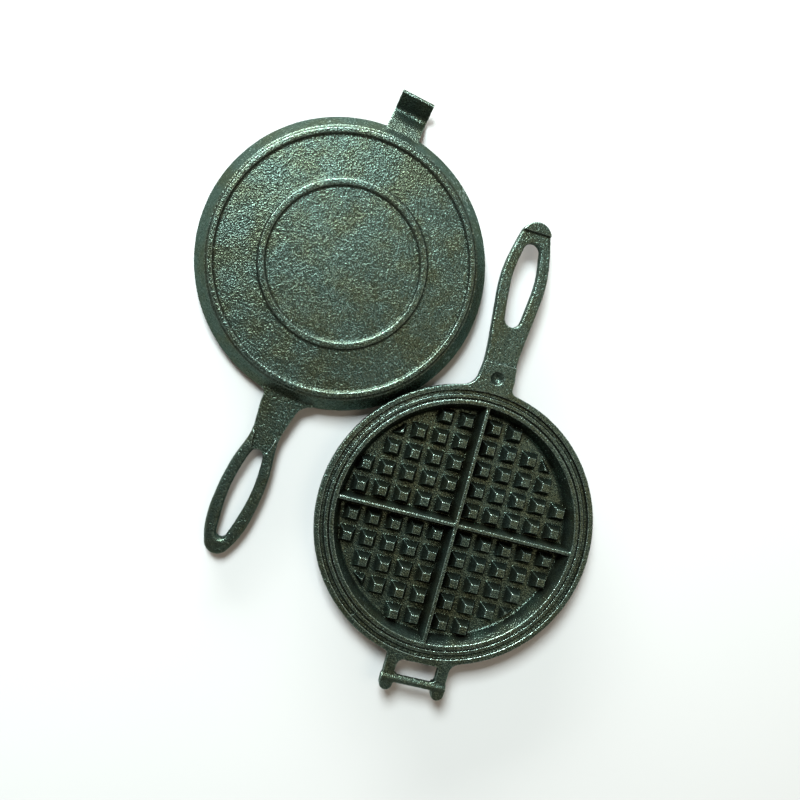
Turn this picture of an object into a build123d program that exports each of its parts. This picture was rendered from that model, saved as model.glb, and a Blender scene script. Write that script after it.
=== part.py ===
from build123d import *
from math import radians, sin, tan
import math
import os

# Stovetop waffle iron: two loose iron castings that hook together.
#
# Both halves are modelled closed on each other: the pans' axis is Z, the parting plane is z = 0,
# the handles point along +Y and the hinge is at -Y. The bar half fills z < 0 and the hook half
# z > 0. Then each half is laid on the table as it lies when the iron is taken apart.
# All sizes are in millimetres, all angles in degrees.

# ---- pans, the same on both halves
RIM_R = 97.5                # outer radius of the rim
LIP_H = 4.5                 # upright edge of the rim
LAND_W = 4.0                # flat land at the edge, where the halves meet
GROOVE_W = 2.8              # groove inside the land
GROOVE_DEPTH = 2.2
OUTER_RIDGE_W = 2.5
OUTER_RIDGE_DROP = 0.9      # its top below the parting plane
STEP_W = 1.2                # narrow step between the ridges
STEP_DEPTH = 1.9
INNER_RIDGE_W = 2.9
INNER_RIDGE_DROP = 0.3
CAVITY_DEPTH = 13.0         # parting plane to the waffle floor
WALL_DRAFT_RUN = 4.2        # how far the cavity wall leans in
FLOOR_T = 3.4               # iron under the waffle floor
SHOULDER_RUN = 8.2          # how far the outside leans in, rim to back
OUTER_BEAD_R = 85.8         # ring beads on the back, the feet of the pan
OUTER_BEAD_W = 4.8
INNER_BEAD_R = 53.2
INNER_BEAD_W = 5.6
BEAD_H = 1.8
BEAD_FLANK = 0.9            # sloping flank each side of a bead's flat crest
BEAD_ROUND = 0.8            # rounding of a bead's crest
EDGE_ROUND = 1.0            # rounding of the pan's plain edges
FOOT_ROUND = 1.6            # rounding where the cavity wall meets the floor

# ---- waffle grid
RIB_TOP_W = 2.4
RIB_BASE_W = 7.4
RIB_DROP = 0.6              # rib tops below the parting plane
PEG_FIRST = 10.1            # rib's middle to the first peg's middle
PEG_PITCH = 15.1
PEG_BASE = 11.0
PEG_TOP = 5.7
PEG_H = 8.7
PEG_ROWS = (5, 5, 4, 3, 2)  # whole pegs in each row of a quadrant, from the rib outwards
CORNER_PEG = 4              # place, both ways, of the three-sided peg that the wall cuts
CORNER_PEG_LEG = 9.0
CORNER_PEG_H = 6.0
CORNER_PEG_DRAFT = 1.9

# ---- handles: places are distances outwards from the rim, with half widths
GRIP_DROP = 1.2             # faces of both handles back from the parting plane
BAR_GRIP_T = 7.0
BAR_GRIP_REACH = 117.0
BAR_GRIP = ((9.0, 12.5), (20.0, 11.5), (34.0, 12.5), (52.0, 14.4), (80.0, 16.0), (97.0, 13.3),
            (109.5, 10.2))
BAR_SLOT = ((48.6, 5.9), (62.0, 7.4), (80.0, 8.4), (97.2, 5.9))
BAR_SLOT_ENDS = (43.5, 102.2)
ROOT_W = 25.0               # handle's width where it leaves the rim
ROOT_BLENDS = (11.0, 4.0)   # blends into the rim, left and right
ROOT_PAD_END = 17.3         # end of the raised pad at the handle's root
DIMPLE_AT = 7.0
DIMPLE_D = 9.3
DIMPLE_DEPTH = 2.9
LUG_AT = 109.5              # thumb lug over the last stretch of the bar half's handle
LUG_H = 2.2
LUG_ROUND = 0.8
HOOK_GRIP_T = 8.6
HOOK_GRIP_REACH = 114.5
HOOK_GRIP = ((7.0, 12.5), (16.0, 11.1), (28.0, 9.9), (36.0, 10.9), (46.0, 13.1), (74.0, 15.1), (94.0, 13.4),
             (108.7, 8.4))
HOOK_SLOT = ((41.2, 4.1), (54.0, 6.3), (68.0, 7.1), (84.0, 6.0), (100.0, 3.4))
HOOK_SLOT_ENDS = (38.0, 102.8)
WEB_DROP = 1.8              # flat web at the hook half's root, below the rounded loop
WEB_END = 27.0
WEB_ARCH = (7.0, 16.0)      # half width and length of the web's round end, which meets the hole
GRIP_ROUND = 2.6            # rounded upper edges of the hook half's handle
GRIP_EDGE = 1.2             # rounding of the other handle edges
PIP_CLEARANCE = 0.35        # pip on the hook half inside the dimple of the bar half

# ---- hinge: bar and ears on the bar half, hook on the hook half
BAR_D = 6.1
BAR_RISE = 1.05             # top of the bar above the parting plane
ARM_T = 6.0
EAR_D = 9.4
EAR_REACH = 4.1             # middle of an ear outboard of the bar's axis
EAR_DROP = 0.5              # flat tops of the ears below the top of the bar
EAR_ROUND = 0.8
WINDOW_GAP = 0.7            # rim's edge to the window
WINDOW_PLAY = 2.8           # hook's side to the window's end
EAR_PLAY = 2.1              # hook's side to the ear
WINDOW_CORNERS = (4.4, 1.4) # window's corners at the pan, left and right
BAR_BLEND_GAPS = (0.4, 0.6) # window's corners at the bar, left and right: smaller than its play by
ARM_WAIST = 0.7             # arms narrower than the ears, on the outer side
FRAME_BLENDS = (4.0, 7.0)   # blends into the rim, left and right
HOOK_W = 23.5
HOOK_T = 3.5
HOOK_ROUND = 0.7
SEAT_CLEARANCE = 0.35       # between the bar and the hook's round seat
NECK_LEAN = 40.0            # neck of the hook from the horizontal
WALL_LEAN = 45.0            # rising wall of the hook from the horizontal
HOOK_WALL_L = 10.5          # straight length of the hook's rising wall
NECK_GAP = 0.3              # neck off the parting plane where it leaves the lip
NECK_OUT = 1.632            # neck's outer face crosses the parting plane, outwards from the rim

# ---- how the two halves lie, taken apart
LAID_OVERLAP = 2.5          # how far the rims overlap, seen from above
LAID_BEARING = 129.0        # direction of the hook half, seen from the bar half
LAID_TURN = 170.8           # turn of the hook half about the vertical

# ---- worked out from the sizes above
BODY_H = CAVITY_DEPTH + FLOOR_T
HALF_H = BODY_H + BEAD_H
GROOVE_OUT = RIM_R - LAND_W
OUTER_RIDGE_OUT = GROOVE_OUT - GROOVE_W
OUTER_RIDGE_IN = OUTER_RIDGE_OUT - OUTER_RIDGE_W
INNER_RIDGE_OUT = OUTER_RIDGE_IN - STEP_W
CAVITY_R = INNER_RIDGE_OUT - INNER_RIDGE_W
FLOOR_R = CAVITY_R - WALL_DRAFT_RUN
BAR_Z = BAR_RISE - BAR_D / 2
SEAT_R = BAR_D / 2 + SEAT_CLEARANCE
HOOK_R = SEAT_R + HOOK_T
NECK_ACROSS = HOOK_R / sin(radians(NECK_LEAN)) - BAR_Z / tan(radians(NECK_LEAN))
BAR_OUT = RIM_R + NECK_OUT + NECK_ACROSS
EAR_X = HOOK_W / 2 + EAR_PLAY + EAR_D / 2
FRAME_W = 2 * EAR_X + EAR_D
BAR_BLENDS = [WINDOW_PLAY - gap for gap in BAR_BLEND_GAPS]
LAID_DISTANCE = 2 * RIM_R - LAID_OVERLAP
OVERLAP = 1.0               # how deep joined bodies are sunk in, and how far cutters reach out
LARGE = 400.0               # larger than either half, for trimming along a plane
ROOT_REGION = 80.0          # wider than a handle's root
TINY = 1e-3


def turned(points, round_radius=0.0):
    """Body of revolution about Z from (radius, height) points."""
    outline = make_face(Polyline(*points, close=True))
    if round_radius:
        corners = [v for v in outline.vertices() if v.X > TINY]
        outline = fillet(corners, round_radius)
    return revolve(Plane.XZ * outline, Axis.Z)


def bead(radius, width):
    """Ring bead on the back of a pan, with a narrow flat crest."""
    foot, crest = width / 2, width / 2 - BEAD_FLANK
    sunk = OVERLAP - BODY_H
    profile = make_face(Polyline((radius - foot, sunk), (radius - foot, -BODY_H), (radius - crest, -HALF_H),
                                 (radius + crest, -HALF_H), (radius + foot, -BODY_H),
                                 (radius + foot, sunk), close=True))
    profile = fillet(profile.vertices().group_by(Axis.Y)[0], BEAD_ROUND)
    return revolve(Plane.XZ * profile, Axis.Z)


def pan():
    """Round pan, open upwards: rim land, groove, two ridges, drafted cavity and sloping shoulder."""
    outside = turned([(0, 0), (RIM_R, 0), (RIM_R, -LIP_H), (RIM_R - SHOULDER_RUN, -BODY_H),
                      (0, -BODY_H)], EDGE_ROUND)
    cavity = turned([(0, OVERLAP), (CAVITY_R, OVERLAP), (CAVITY_R, 0), (FLOOR_R, -CAVITY_DEPTH),
                     (0, -CAVITY_DEPTH)])
    foot = cavity.edges().filter_by(GeomType.CIRCLE).group_by(Axis.Z)[0]
    cavity = fillet(foot, FOOT_ROUND)
    rim_cut = turned([(CAVITY_R - OVERLAP, OVERLAP), (CAVITY_R - OVERLAP, -INNER_RIDGE_DROP),
                      (INNER_RIDGE_OUT, -INNER_RIDGE_DROP), (INNER_RIDGE_OUT, -STEP_DEPTH),
                      (OUTER_RIDGE_IN, -STEP_DEPTH), (OUTER_RIDGE_IN, -OUTER_RIDGE_DROP),
                      (OUTER_RIDGE_OUT, -OUTER_RIDGE_DROP), (OUTER_RIDGE_OUT, -GROOVE_DEPTH),
                      (GROOVE_OUT, -GROOVE_DEPTH), (GROOVE_OUT, OVERLAP)])
    body = outside - cavity - rim_cut
    return body + bead(OUTER_BEAD_R, OUTER_BEAD_W) + bead(INNER_BEAD_R, INNER_BEAD_W)


def frustum(base, top, height):
    """Straight-sided solid between two flat outlines, its foot sunk in the waffle floor."""
    foot = extrude(Pos(0, 0, -CAVITY_DEPTH - OVERLAP) * base, OVERLAP)
    body = loft([Pos(0, 0, -CAVITY_DEPTH) * base, Pos(0, 0, -CAVITY_DEPTH + height) * top], ruled=True)
    return foot + body


def corner_peg():
    """Three-sided peg, its square corner towards the rib cross."""
    low, high = CORNER_PEG_DRAFT, CORNER_PEG_LEG - CORNER_PEG_DRAFT * (1 + math.sqrt(2))
    base = make_face(Polyline((0, 0), (CORNER_PEG_LEG, 0), (0, CORNER_PEG_LEG), close=True))
    top = make_face(Polyline((low, low), (high, low), (low, high), close=True))
    return frustum(base, top, CORNER_PEG_H)


def rib():
    """One drafted rib right across the cavity, its ends sunk in the inner ridge."""
    length = 2 * (CAVITY_R + INNER_RIDGE_W / 2)
    return frustum(Rectangle(length, RIB_BASE_W), Rectangle(length, RIB_TOP_W),
                   CAVITY_DEPTH - RIB_DROP)


def grid():
    """Rib cross and the pegs of the four quadrants."""
    peg = frustum(Rectangle(PEG_BASE, PEG_BASE), Rectangle(PEG_TOP, PEG_TOP), PEG_H)
    corner_at = PEG_FIRST + (CORNER_PEG - 1) * PEG_PITCH - PEG_BASE / 2
    quadrant = [Pos(corner_at, corner_at, 0) * corner_peg()]
    for row, count in enumerate(PEG_ROWS):
        for place in range(count):
            quadrant.append(Pos(PEG_FIRST + place * PEG_PITCH, PEG_FIRST + row * PEG_PITCH, 0) * peg)
    pegs = [Rot(0, 0, 90 * turn) * each for turn in range(4) for each in quadrant]
    return [rib(), Rot(0, 0, 90) * rib()] + pegs


def blended(plan, half_width, blends, side):
    """Plan joined to the rim: concave arcs fill its corners with the rim, left (-X) then right."""
    for x_side, radius in zip((-1, 1), blends):
        x = x_side * (half_width + radius)
        y = side * math.sqrt((RIM_R + radius) ** 2 - x ** 2)
        inward = GROOVE_OUT / (RIM_R + radius)
        corner = Polyline((0, side * GROOVE_OUT), (x * inward, y * inward), (x, y),
                          (x_side * half_width, y), (0, y), close=True)
        plan = plan + make_face(corner) - Pos(x, y) * Circle(radius)
    return plan - Circle(GROOVE_OUT + OVERLAP / 2)


def grip_plan(widths, reach):
    """Plan of a handle: symmetrical about Y, with a round end."""
    right = [(half, RIM_R + out) for out, half in widths]
    left = [(-x, y) for x, y in reversed(right)]
    root = Polyline(left[-1], (-ROOT_W / 2, GROOVE_OUT), (ROOT_W / 2, GROOVE_OUT), right[0])
    end = ThreePointArc(right[-1], (0, RIM_R + reach), left[0])
    return make_face([root, Spline(*right), end, Spline(*left)])


def slot_plan(widths, ends):
    """Plan of the hole in a handle."""
    right = [(half, RIM_R + out) for out, half in widths]
    left = [(-x, y) for x, y in reversed(right)]
    near = ThreePointArc(left[-1], (0, RIM_R + ends[0]), right[0])
    far = ThreePointArc(right[-1], (0, RIM_R + ends[1]), left[0])
    return make_face([near, Spline(*right, tangents=(near % 1, far % 0)), far,
                      Spline(*left, tangents=(far % 1, near % 0))])


def slab(plan, low, high):
    """Flat plate with the given plan between two heights."""
    return extrude(Pos(0, 0, low) * plan, high - low)


def outboard(distance):
    """Everything on the handle's side, further out from the rim than a distance."""
    return Pos(0, RIM_R + distance + LARGE / 2, 0) * Box(LARGE, LARGE, LARGE)


def rounded(body, height, radius):
    """The body with its edges at one height rounded, outside the rim."""
    level = [e for e in body.edges() if abs(e.bounding_box().min.Z - height) < TINY
             and abs(e.bounding_box().max.Z - height) < TINY
             and math.hypot(e.center().X, e.center().Y) > RIM_R]
    return fillet(level, radius)


def locating_ball(shrink=0.0):
    """Ball that forms the dimple and, smaller by a clearance, the pip that enters it."""
    radius = (DIMPLE_D ** 2 / 4 + DIMPLE_DEPTH ** 2) / (2 * DIMPLE_DEPTH)
    return Pos(0, RIM_R + DIMPLE_AT, radius - DIMPLE_DEPTH) * Rot(90, 0, 0) * Sphere(radius - shrink)


def bar_grip():
    """Handle of the bar half: flat slotted grip, root pad with the dimple, and thumb lug."""
    top, low = -GRIP_DROP, -GRIP_DROP - BAR_GRIP_T
    outline = grip_plan(BAR_GRIP, BAR_GRIP_REACH)
    plan = blended(outline, ROOT_W / 2, ROOT_BLENDS, 1)
    grip = slab(plan - slot_plan(BAR_SLOT, BAR_SLOT_ENDS), low, top)
    grip = rounded(rounded(grip, low, GRIP_EDGE), top, GRIP_EDGE)
    pad = slab(plan, top - OVERLAP, 0) - outboard(ROOT_PAD_END)
    lug = rounded(slab(outline, top - OVERLAP, top + LUG_H) & outboard(LUG_AT), top + LUG_H, LUG_ROUND)
    return grip + pad + lug - locating_ball()


def hook_grip():
    """Handle of the hook half: rounded loop, flat web at its root, root pad and locating pip."""
    low, top = GRIP_DROP, GRIP_DROP + HOOK_GRIP_T
    plan = blended(grip_plan(HOOK_GRIP, HOOK_GRIP_REACH), ROOT_W / 2, ROOT_BLENDS, 1)
    grip = slab(plan - slot_plan(HOOK_SLOT, HOOK_SLOT_ENDS), low, top)
    grip = rounded(rounded(grip, low, GRIP_EDGE), top, GRIP_ROUND)
    web_end = RIM_R + WEB_END
    web_plan = Rectangle(ROOT_REGION, 2 * web_end) + Pos(0, web_end) * Ellipse(*WEB_ARCH)
    over_web = slab(web_plan, top - WEB_DROP, top + OVERLAP)
    pad = slab(plan, 0, low + OVERLAP) - outboard(ROOT_PAD_END)
    pip = locating_ball(PIP_CLEARANCE) & slab(Circle(LARGE), -DIMPLE_DEPTH, OVERLAP)
    return grip - over_web + pad + pip


def hinge_frame():
    """Open frame beyond the rim at -Y: two arms, the round bar across them, and an ear on each."""
    half = FRAME_W / 2 - ARM_WAIST
    arms = Pos(0, -(GROOVE_OUT + BAR_OUT) / 2) * Rectangle(2 * half, BAR_OUT - GROOVE_OUT)
    near, far = -RIM_R - WINDOW_GAP, -BAR_OUT - BAR_D / 2
    side = HOOK_W / 2 + WINDOW_PLAY
    window = Pos(0, (near + far) / 2) * Rectangle(2 * side, near - far)
    for x_side, radius in zip((-1, 1), WINDOW_CORNERS):
        corner = min(window.vertices(), key=lambda v: abs(v.X - x_side * side) + abs(v.Y - near))
        window = fillet(corner, radius)
    plan = blended(arms, half, FRAME_BLENDS, -1) - window
    inner = BAR_D / 2 - BAR_OUT
    for x_side, radius in zip((-1, 1), BAR_BLENDS):
        filled = Pos(x_side * (side - radius / 2), inner + (radius - OVERLAP) / 2)
        corner = filled * Rectangle(radius, radius + OVERLAP)
        plan = plan + (corner - Pos(x_side * (side - radius), inner + radius) * Circle(radius))
    frame = slab(plan, -ARM_T, 0)
    for x in (-EAR_X, EAR_X):
        ear = Pos(x, -BAR_OUT - EAR_REACH) * Circle(EAR_D / 2)
        ear = ear + Pos(x, (OVERLAP - EAR_REACH) / 2 - BAR_OUT) * Rectangle(EAR_D, EAR_REACH + OVERLAP)
        ear = rounded(slab(ear, -ARM_T, BAR_RISE - EAR_DROP), BAR_RISE - EAR_DROP, EAR_ROUND)
        frame = frame + rounded(ear, -ARM_T, EAR_ROUND)
    bar = Pos(0, -BAR_OUT, BAR_Z) * Rot(0, 90, 0) * Cylinder(BAR_D / 2, FRAME_W)
    return frame + bar


def hook():
    """Hook of the lid half: a neck down through the window, a round seat and a rising wall."""
    axis = Vector(-BAR_OUT, BAR_Z)

    def spot(angle, radius):
        return axis + Vector(radius, 0).rotate(Axis.Z, angle)

    neck_side, bottom, wall_side = NECK_LEAN - 90, -90, -90 - WALL_LEAN
    neck_way = Vector(1, 0).rotate(Axis.Z, NECK_LEAN)
    wall_way = Vector(-1, 0).rotate(Axis.Z, -WALL_LEAN)
    seat_start, seat_end = spot(neck_side, SEAT_R), spot(wall_side, SEAT_R)
    back_start, back_end = spot(neck_side, HOOK_R), spot(wall_side, HOOK_R)
    neck_top = seat_start + neck_way * ((-GROOVE_OUT - seat_start.X) / neck_way.X)
    neck_foot = back_start + neck_way * ((NECK_GAP - back_start.Y) / neck_way.Y)
    wall_end, wall_back = seat_end + wall_way * HOOK_WALL_L, back_end + wall_way * HOOK_WALL_L
    profile = make_face([
        Line(neck_top, seat_start), ThreePointArc(seat_start, spot(bottom, SEAT_R), seat_end),
        Polyline(seat_end, wall_end, wall_back, back_end),
        ThreePointArc(back_end, spot(bottom, HOOK_R), back_start),
        Polyline(back_start, neck_foot, (-GROOVE_OUT, NECK_GAP), neck_top)])
    tips = [v for v in profile.vertices() if v.Y > wall_back.Y - TINY and v.X < -BAR_OUT]
    profile = fillet(tips, HOOK_ROUND)
    return extrude(Plane.YZ * profile, HOOK_W / 2, both=True)


def bar_half():
    """Casting with the bar: pan, waffle grid, slotted handle and hinge frame."""
    return pan() + [*grid(), bar_grip(), hinge_frame()]


def hook_half():
    """Casting with the hook: the same pan and grid turned over, looped handle and hook."""
    turn_over = Rot(0, 180, 0)
    return turn_over * pan() + [turn_over * each for each in grid()] + [hook_grip(), hook()]


def main():
    """Lay both halves on the table, apart, and write them."""
    span = BAR_OUT + RIM_R + HOOK_GRIP_REACH - GRIP_EDGE
    drop = GRIP_DROP - BAR_Z
    tilt = math.degrees(math.asin(HOOK_R / math.hypot(span, drop)) + math.atan2(drop, span))
    bearing = math.radians(LAID_BEARING)
    base = Pos(0, 0, HALF_H) * bar_half()
    lid = Rot(0, 0, LAID_TURN) * Rot(-tilt, 0, 0) * hook_half()
    lid = Pos(LAID_DISTANCE * math.cos(bearing), LAID_DISTANCE * math.sin(bearing),
              -lid.bounding_box().min.Z) * lid
    both = Compound([base, lid]).bounding_box()
    centre = Pos(-both.center().X, -both.center().Y, 0)
    os.makedirs("parts", exist_ok=True)
    for name, body in (("bar_half", base), ("hook_half", lid)):
        export_step(centre * body, f"parts/{name}.step")


if __name__ == "__main__":
    main()
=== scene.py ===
import math

import bpy
from mathutils import Euler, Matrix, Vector


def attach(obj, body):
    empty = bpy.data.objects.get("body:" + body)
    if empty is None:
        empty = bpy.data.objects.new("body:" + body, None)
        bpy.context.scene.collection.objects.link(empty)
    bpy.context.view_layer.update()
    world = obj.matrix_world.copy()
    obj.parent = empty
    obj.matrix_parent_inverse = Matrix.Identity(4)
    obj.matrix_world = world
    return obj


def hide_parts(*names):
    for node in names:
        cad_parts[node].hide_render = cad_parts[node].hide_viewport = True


# Stovetop waffle iron, taken apart: two sand-cast halves lying side by side on a pale floor.
# Everything is in metres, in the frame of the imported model.

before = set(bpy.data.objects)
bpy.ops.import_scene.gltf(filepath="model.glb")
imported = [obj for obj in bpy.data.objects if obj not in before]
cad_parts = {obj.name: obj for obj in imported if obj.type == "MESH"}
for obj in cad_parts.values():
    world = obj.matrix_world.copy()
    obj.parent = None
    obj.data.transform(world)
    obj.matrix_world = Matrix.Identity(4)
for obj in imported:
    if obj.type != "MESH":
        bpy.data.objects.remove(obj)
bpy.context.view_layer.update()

MM = 0.001

# ---- camera and studio
CAMERA_AT = Vector((-71.9, 7.7, 543.9)) * MM
CAMERA_TURN = (-3.226, -7.168, 15.509)      # Euler angles in degrees
CAMERA_LENS = 35.54
CAMERA_SENSOR = 36.0
CAMERA_NEAR, CAMERA_FAR = 0.01, 20.0
AIM = Vector((0.0, 0.0, 0.012))             # what the lamps point at
# name, direction from the aim, distance, (width, height), watts, colour
LAMPS = (
    ("window", (-0.42, 0.70, 0.94), 2.2, (0.8, 0.8), 114.0, (0.80, 0.98, 1.0)),
    ("low_window", (-0.40, 0.92, 0.15), 2.2, (2.0, 0.4), 150.0, (0.90, 1.0, 0.98)),
    ("overhead", (0.50, 0.05, 1.0), 2.0, (0.8, 1.0), 7.5, (1.0, 0.94, 0.74)),
)
FLOOR_SIZE = 3.0
FLOOR_COLOUR = (0.53, 0.485, 0.48)
FLOOR_ROUGHNESS, FLOOR_SHINE = 0.9, 0.1
# (height of the direction, from -1 below to 1 above; colour): pale walls, dim ceiling
WALLS = ((0.35, (0.74, 0.71, 0.63)), (0.60, (0.08, 0.075, 0.055)))

# ---- casting surface
VOXEL = 0.42 * MM                           # remeshing step, which also rounds the sharp edges
SMOOTH_FACTOR, SMOOTH_STEPS = 0.5, 3
# (size of the lumps, depth of the noise, height of the lumps)
LUMPS = ((9.0 * MM, 2, 0.22 * MM), (2.6 * MM, 2, 0.09 * MM))
LUMP_LEVEL = 0.8                            # high, so that the lumps go mostly inwards

# ---- iron: noises as (scale per metre, detail, roughness)
GRAIN_NOISE = (1100, 1.5, 0.5)
PIT_NOISE = (620, 1, 0.5)
CLOUD_NOISE = (45, 4, 0.6)
GRAIN_SHARE, PIT_SHARE = 0.6, 0.4
# stops of (grain, colour)
GREEN_GREY = ((0.36, (0.033, 0.045, 0.036)), (0.52, (0.053, 0.073, 0.060)), (0.66, (0.086, 0.115, 0.098)))
BROWN_GREY = ((0.36, (0.034, 0.040, 0.026)), (0.54, (0.056, 0.064, 0.042)), (0.68, (0.090, 0.104, 0.072)))
STAIN_EDGES = ((0.42, (0.0,)), (0.62, (1.0,)))      # cloud noise from green to brown
HOLLOW_SHADE_STOPS = ((0.462, (0.2,)), (0.496, (1.0,)))        # pointiness, from painted shade in a hollow to plain face
# near-black painted shade laid into the hollows
HOLLOW_SHADE = (0.004, 0.005, 0.004)
RUB_AND_HIGHLIGHT_STOPS = ((0.511, (0.0,)), (0.550, (1.0,)))          # pointiness, from plain face to rubbed edge with a painted highlight
EDGE_GRAIN = ((0.40, (0.15,)), (0.58, (1.0,)))      # how much of the rub and painted highlight each grain takes
# pale teal of the edges: partly bare worn metal, partly a painted highlight
RUB_AND_HIGHLIGHT_COLOUR = (0.30, 0.37, 0.33)
# painted shade in crevices and between the pegs, from ambient occlusion:
SHADE_REACH = 7.0 * MM
AO_SHADE_STOPS = ((0.30, (0.0,)), (0.80, (1.0,)))       # ambient occlusion, from painted shade to open
AO_SHADE, AO_SHADE_STRENGTH = (0.018, 0.015, 0.007), 0.75
GRAIN_ROUGHNESS = ((0.38, (0.31,)), (0.62, (0.19,)))
METALLIC = 0.85
IOR, SPECULAR_LEVEL = 1.5, 0.5
EDGE_TINT = (0.36, 0.46, 0.42)                      # dark, so that steep sides don't mirror the floor
GRAIN_DEPTH = 0.65 * MM


def look_at(obj, place, target):
    """Puts a lamp at a place, turned towards a target."""
    obj.location = place
    obj.rotation_euler = (target - place).to_track_quat("-Z", "Y").to_euler()


def add_camera():
    """Camera that looks down on the pair, a little turned."""
    data = bpy.data.cameras.new("camera")
    data.lens, data.sensor_width = CAMERA_LENS, CAMERA_SENSOR
    data.clip_start, data.clip_end = CAMERA_NEAR, CAMERA_FAR
    camera = bpy.data.objects.new("camera", data)
    bpy.context.scene.collection.objects.link(camera)
    camera.location = CAMERA_AT
    camera.rotation_euler = Euler([math.radians(a) for a in CAMERA_TURN], "XYZ")
    bpy.context.scene.camera = camera


def add_lamp(name, direction, distance, size, power, colour):
    """Soft rectangular lamp of a width and height, seen from the object in a direction."""
    data = bpy.data.lights.new(name, "AREA")
    data.shape = "RECTANGLE"
    data.size, data.size_y = size
    data.energy, data.color = power, colour
    lamp = bpy.data.objects.new(name, data)
    bpy.context.scene.collection.objects.link(lamp)
    look_at(lamp, AIM + Vector(direction).normalized() * distance, AIM)


def node(tree, kind, **values):
    """New shader node, with its settings and unlinked inputs."""
    made = tree.nodes.new(kind)
    for key, value in values.items():
        if hasattr(made, key):
            setattr(made, key, value)
        else:
            made.inputs[key.replace("_", " ")].default_value = value
    return made


def ramp(tree, source, stops):
    """Colour ramp driven by a value: stops are (position, colour or single grey)."""
    made = tree.nodes.new("ShaderNodeValToRGB")
    bands = made.color_ramp.elements
    while len(bands) < len(stops):
        bands.new(0.5)
    for band, (at, colour) in zip(bands, stops):
        band.position = at
        band.color = (*colour, 1.0) if len(colour) == 3 else (colour[0],) * 3 + (1.0,)
    tree.links.new(source, made.inputs["Fac"])
    return made.outputs["Color"]


def add_floor():
    """Plain pale floor."""
    mesh = bpy.data.meshes.new("floor")
    half = FLOOR_SIZE / 2
    corners = [(-half, -half, 0), (half, -half, 0), (half, half, 0), (-half, half, 0)]
    mesh.from_pydata(corners, [], [(0, 1, 2, 3)])
    floor = bpy.data.objects.new("floor", mesh)
    bpy.context.scene.collection.objects.link(floor)
    paint = bpy.data.materials.new("pale_floor")
    paint.use_nodes = True
    shader = paint.node_tree.nodes["Principled BSDF"]
    shader.inputs["Base Color"].default_value = (*FLOOR_COLOUR, 1)
    shader.inputs["Roughness"].default_value = FLOOR_ROUGHNESS
    shader.inputs["Specular IOR Level"].default_value = FLOOR_SHINE
    mesh.materials.append(paint)


def add_studio():
    """Pale walls all round, darkening towards the ceiling."""
    studio = bpy.data.worlds.new("studio")
    studio.use_nodes = True
    tree = studio.node_tree
    height = node(tree, "ShaderNodeSeparateXYZ")
    tree.links.new(tree.nodes.new("ShaderNodeTexCoord").outputs["Generated"], height.inputs[0])
    tree.links.new(ramp(tree, height.outputs["Z"], WALLS), tree.nodes["Background"].inputs["Color"])
    bpy.context.scene.world = studio


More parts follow.
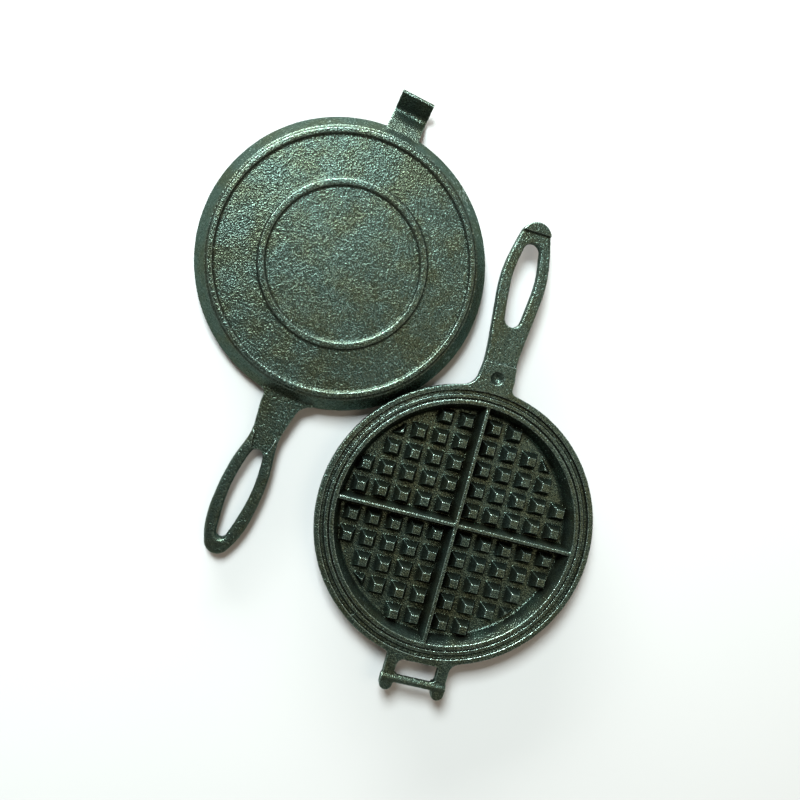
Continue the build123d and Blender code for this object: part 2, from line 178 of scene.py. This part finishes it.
def cast_iron(name):
    """Seasoned sand-cast iron: dark olive grey, grainy, with rubbed edges that carry a painted highlight,
    and painted shade in its hollows and crevices.
    """
    iron = bpy.data.materials.new(name)
    iron.use_nodes = True
    tree = iron.node_tree
    link = tree.links.new
    shader = tree.nodes["Principled BSDF"]
    place = tree.nodes.new("ShaderNodeTexCoord").outputs["Object"]

    def noise(scale, detail, roughness):
        made = node(tree, "ShaderNodeTexNoise", Scale=scale, Detail=detail, Roughness=roughness)
        link(place, made.inputs["Vector"])
        return made.outputs["Fac"]

    def math_node(operation, a, b):
        made = tree.nodes.new("ShaderNodeMath")
        made.operation = operation
        for socket, value in zip(made.inputs, (a, b)):
            if isinstance(value, (int, float)):
                socket.default_value = value
            else:
                link(value, socket)
        return made.outputs["Value"]

    def mix(factor, a, b):
        made = tree.nodes.new("ShaderNodeMix")
        made.data_type = "RGBA"
        # a mix node's sockets for colours: 0 is its factor, 6 and 7 its two colours, 2 its result
        for socket, value in ((0, factor), (6, a), (7, b)):
            if isinstance(value, tuple):
                made.inputs[socket].default_value = (*value, 1.0)
            elif isinstance(value, (int, float)):
                made.inputs[socket].default_value = value
            else:
                link(value, made.inputs[socket])
        return made.outputs[2]

    grain = noise(*GRAIN_NOISE)
    pits = noise(*PIT_NOISE)
    cloud = noise(*CLOUD_NOISE)
    fine, coarse = math_node("MULTIPLY", grain, GRAIN_SHARE), math_node("MULTIPLY", pits, PIT_SHARE)
    speck = math_node("ADD", fine, coarse)
    green, brown = ramp(tree, speck, GREEN_GREY), ramp(tree, speck, BROWN_GREY)
    stained = mix(ramp(tree, cloud, STAIN_EDGES), green, brown)
    curve = tree.nodes.new("ShaderNodeNewGeometry").outputs["Pointiness"]
    # painted shade: the hollows found by pointiness go near-black
    hollow_shaded = mix(ramp(tree, curve, HOLLOW_SHADE_STOPS), HOLLOW_SHADE, stained)
    # rubbed edges: partly real wear, partly a painted highlight on the ridges
    rub_and_highlight = math_node("MULTIPLY", ramp(tree, curve, RUB_AND_HIGHLIGHT_STOPS), ramp(tree, speck, EDGE_GRAIN))
    # painted shade: ambient occlusion darkens the crevices towards a dark brown
    crevice = node(tree, "ShaderNodeAmbientOcclusion", Distance=SHADE_REACH)
    unoccluded = ramp(tree, crevice.outputs["AO"], AO_SHADE_STOPS)
    crevice_shaded = mix(unoccluded, mix(AO_SHADE_STRENGTH, hollow_shaded, AO_SHADE), hollow_shaded)
    link(mix(rub_and_highlight, crevice_shaded, RUB_AND_HIGHLIGHT_COLOUR), shader.inputs["Base Color"])
    link(ramp(tree, speck, GRAIN_ROUGHNESS), shader.inputs["Roughness"])
    shader.inputs["Metallic"].default_value = METALLIC
    shader.inputs["IOR"].default_value = IOR
    shader.inputs["Specular IOR Level"].default_value = SPECULAR_LEVEL
    shader.inputs["Specular Tint"].default_value = (*EDGE_TINT, 1.0)
    bump = node(tree, "ShaderNodeBump", Strength=1.0, Distance=GRAIN_DEPTH)
    link(speck, bump.inputs["Height"])
    link(bump.outputs["Normal"], shader.inputs["Normal"])
    return iron


def casting(name, cad_node, body, material):
    """Cast piece in place of a CAD node: its shape with softened edges and a sand-cast surface."""
    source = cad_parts[cad_node]
    piece = bpy.data.objects.new(name, source.data.copy())
    bpy.context.scene.collection.objects.link(piece)
    remesh = piece.modifiers.new("skin", "REMESH")
    remesh.mode, remesh.voxel_size, remesh.use_smooth_shade = "VOXEL", VOXEL, True
    smooth = piece.modifiers.new("soften", "SMOOTH")
    smooth.factor, smooth.iterations = SMOOTH_FACTOR, SMOOTH_STEPS
    for layer, (size, depth, height) in enumerate(LUMPS):
        lumps = bpy.data.textures.new(f"{name}_lumps_{layer}", "CLOUDS")
        lumps.noise_scale, lumps.noise_depth = size, depth
        sand = piece.modifiers.new(f"sand_{layer}", "DISPLACE")
        sand.texture, sand.texture_coords = lumps, "LOCAL"
        sand.strength, sand.mid_level = height, LUMP_LEVEL
    bpy.context.view_layer.update()
    shaped = piece.evaluated_get(bpy.context.evaluated_depsgraph_get())
    mesh = bpy.data.meshes.new_from_object(shaped)
    piece.modifiers.clear()
    piece.data = mesh
    mesh.materials.clear()
    mesh.materials.append(material)
    mesh.polygons.foreach_set("material_index", [0] * len(mesh.polygons))
    mesh.shade_smooth()
    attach(piece, body)
    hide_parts(cad_node)


add_camera()
add_floor()
for lamp_settings in LAMPS:
    add_lamp(*lamp_settings)
add_studio()
bpy.context.scene.view_settings.view_transform = "Standard"

for cad_name in ("bar_half", "hook_half"):
    slot_name = f"{cad_name}_iron"
    casting(f"{cad_name}_casting", cad_name, cad_name, cast_iron(slot_name))
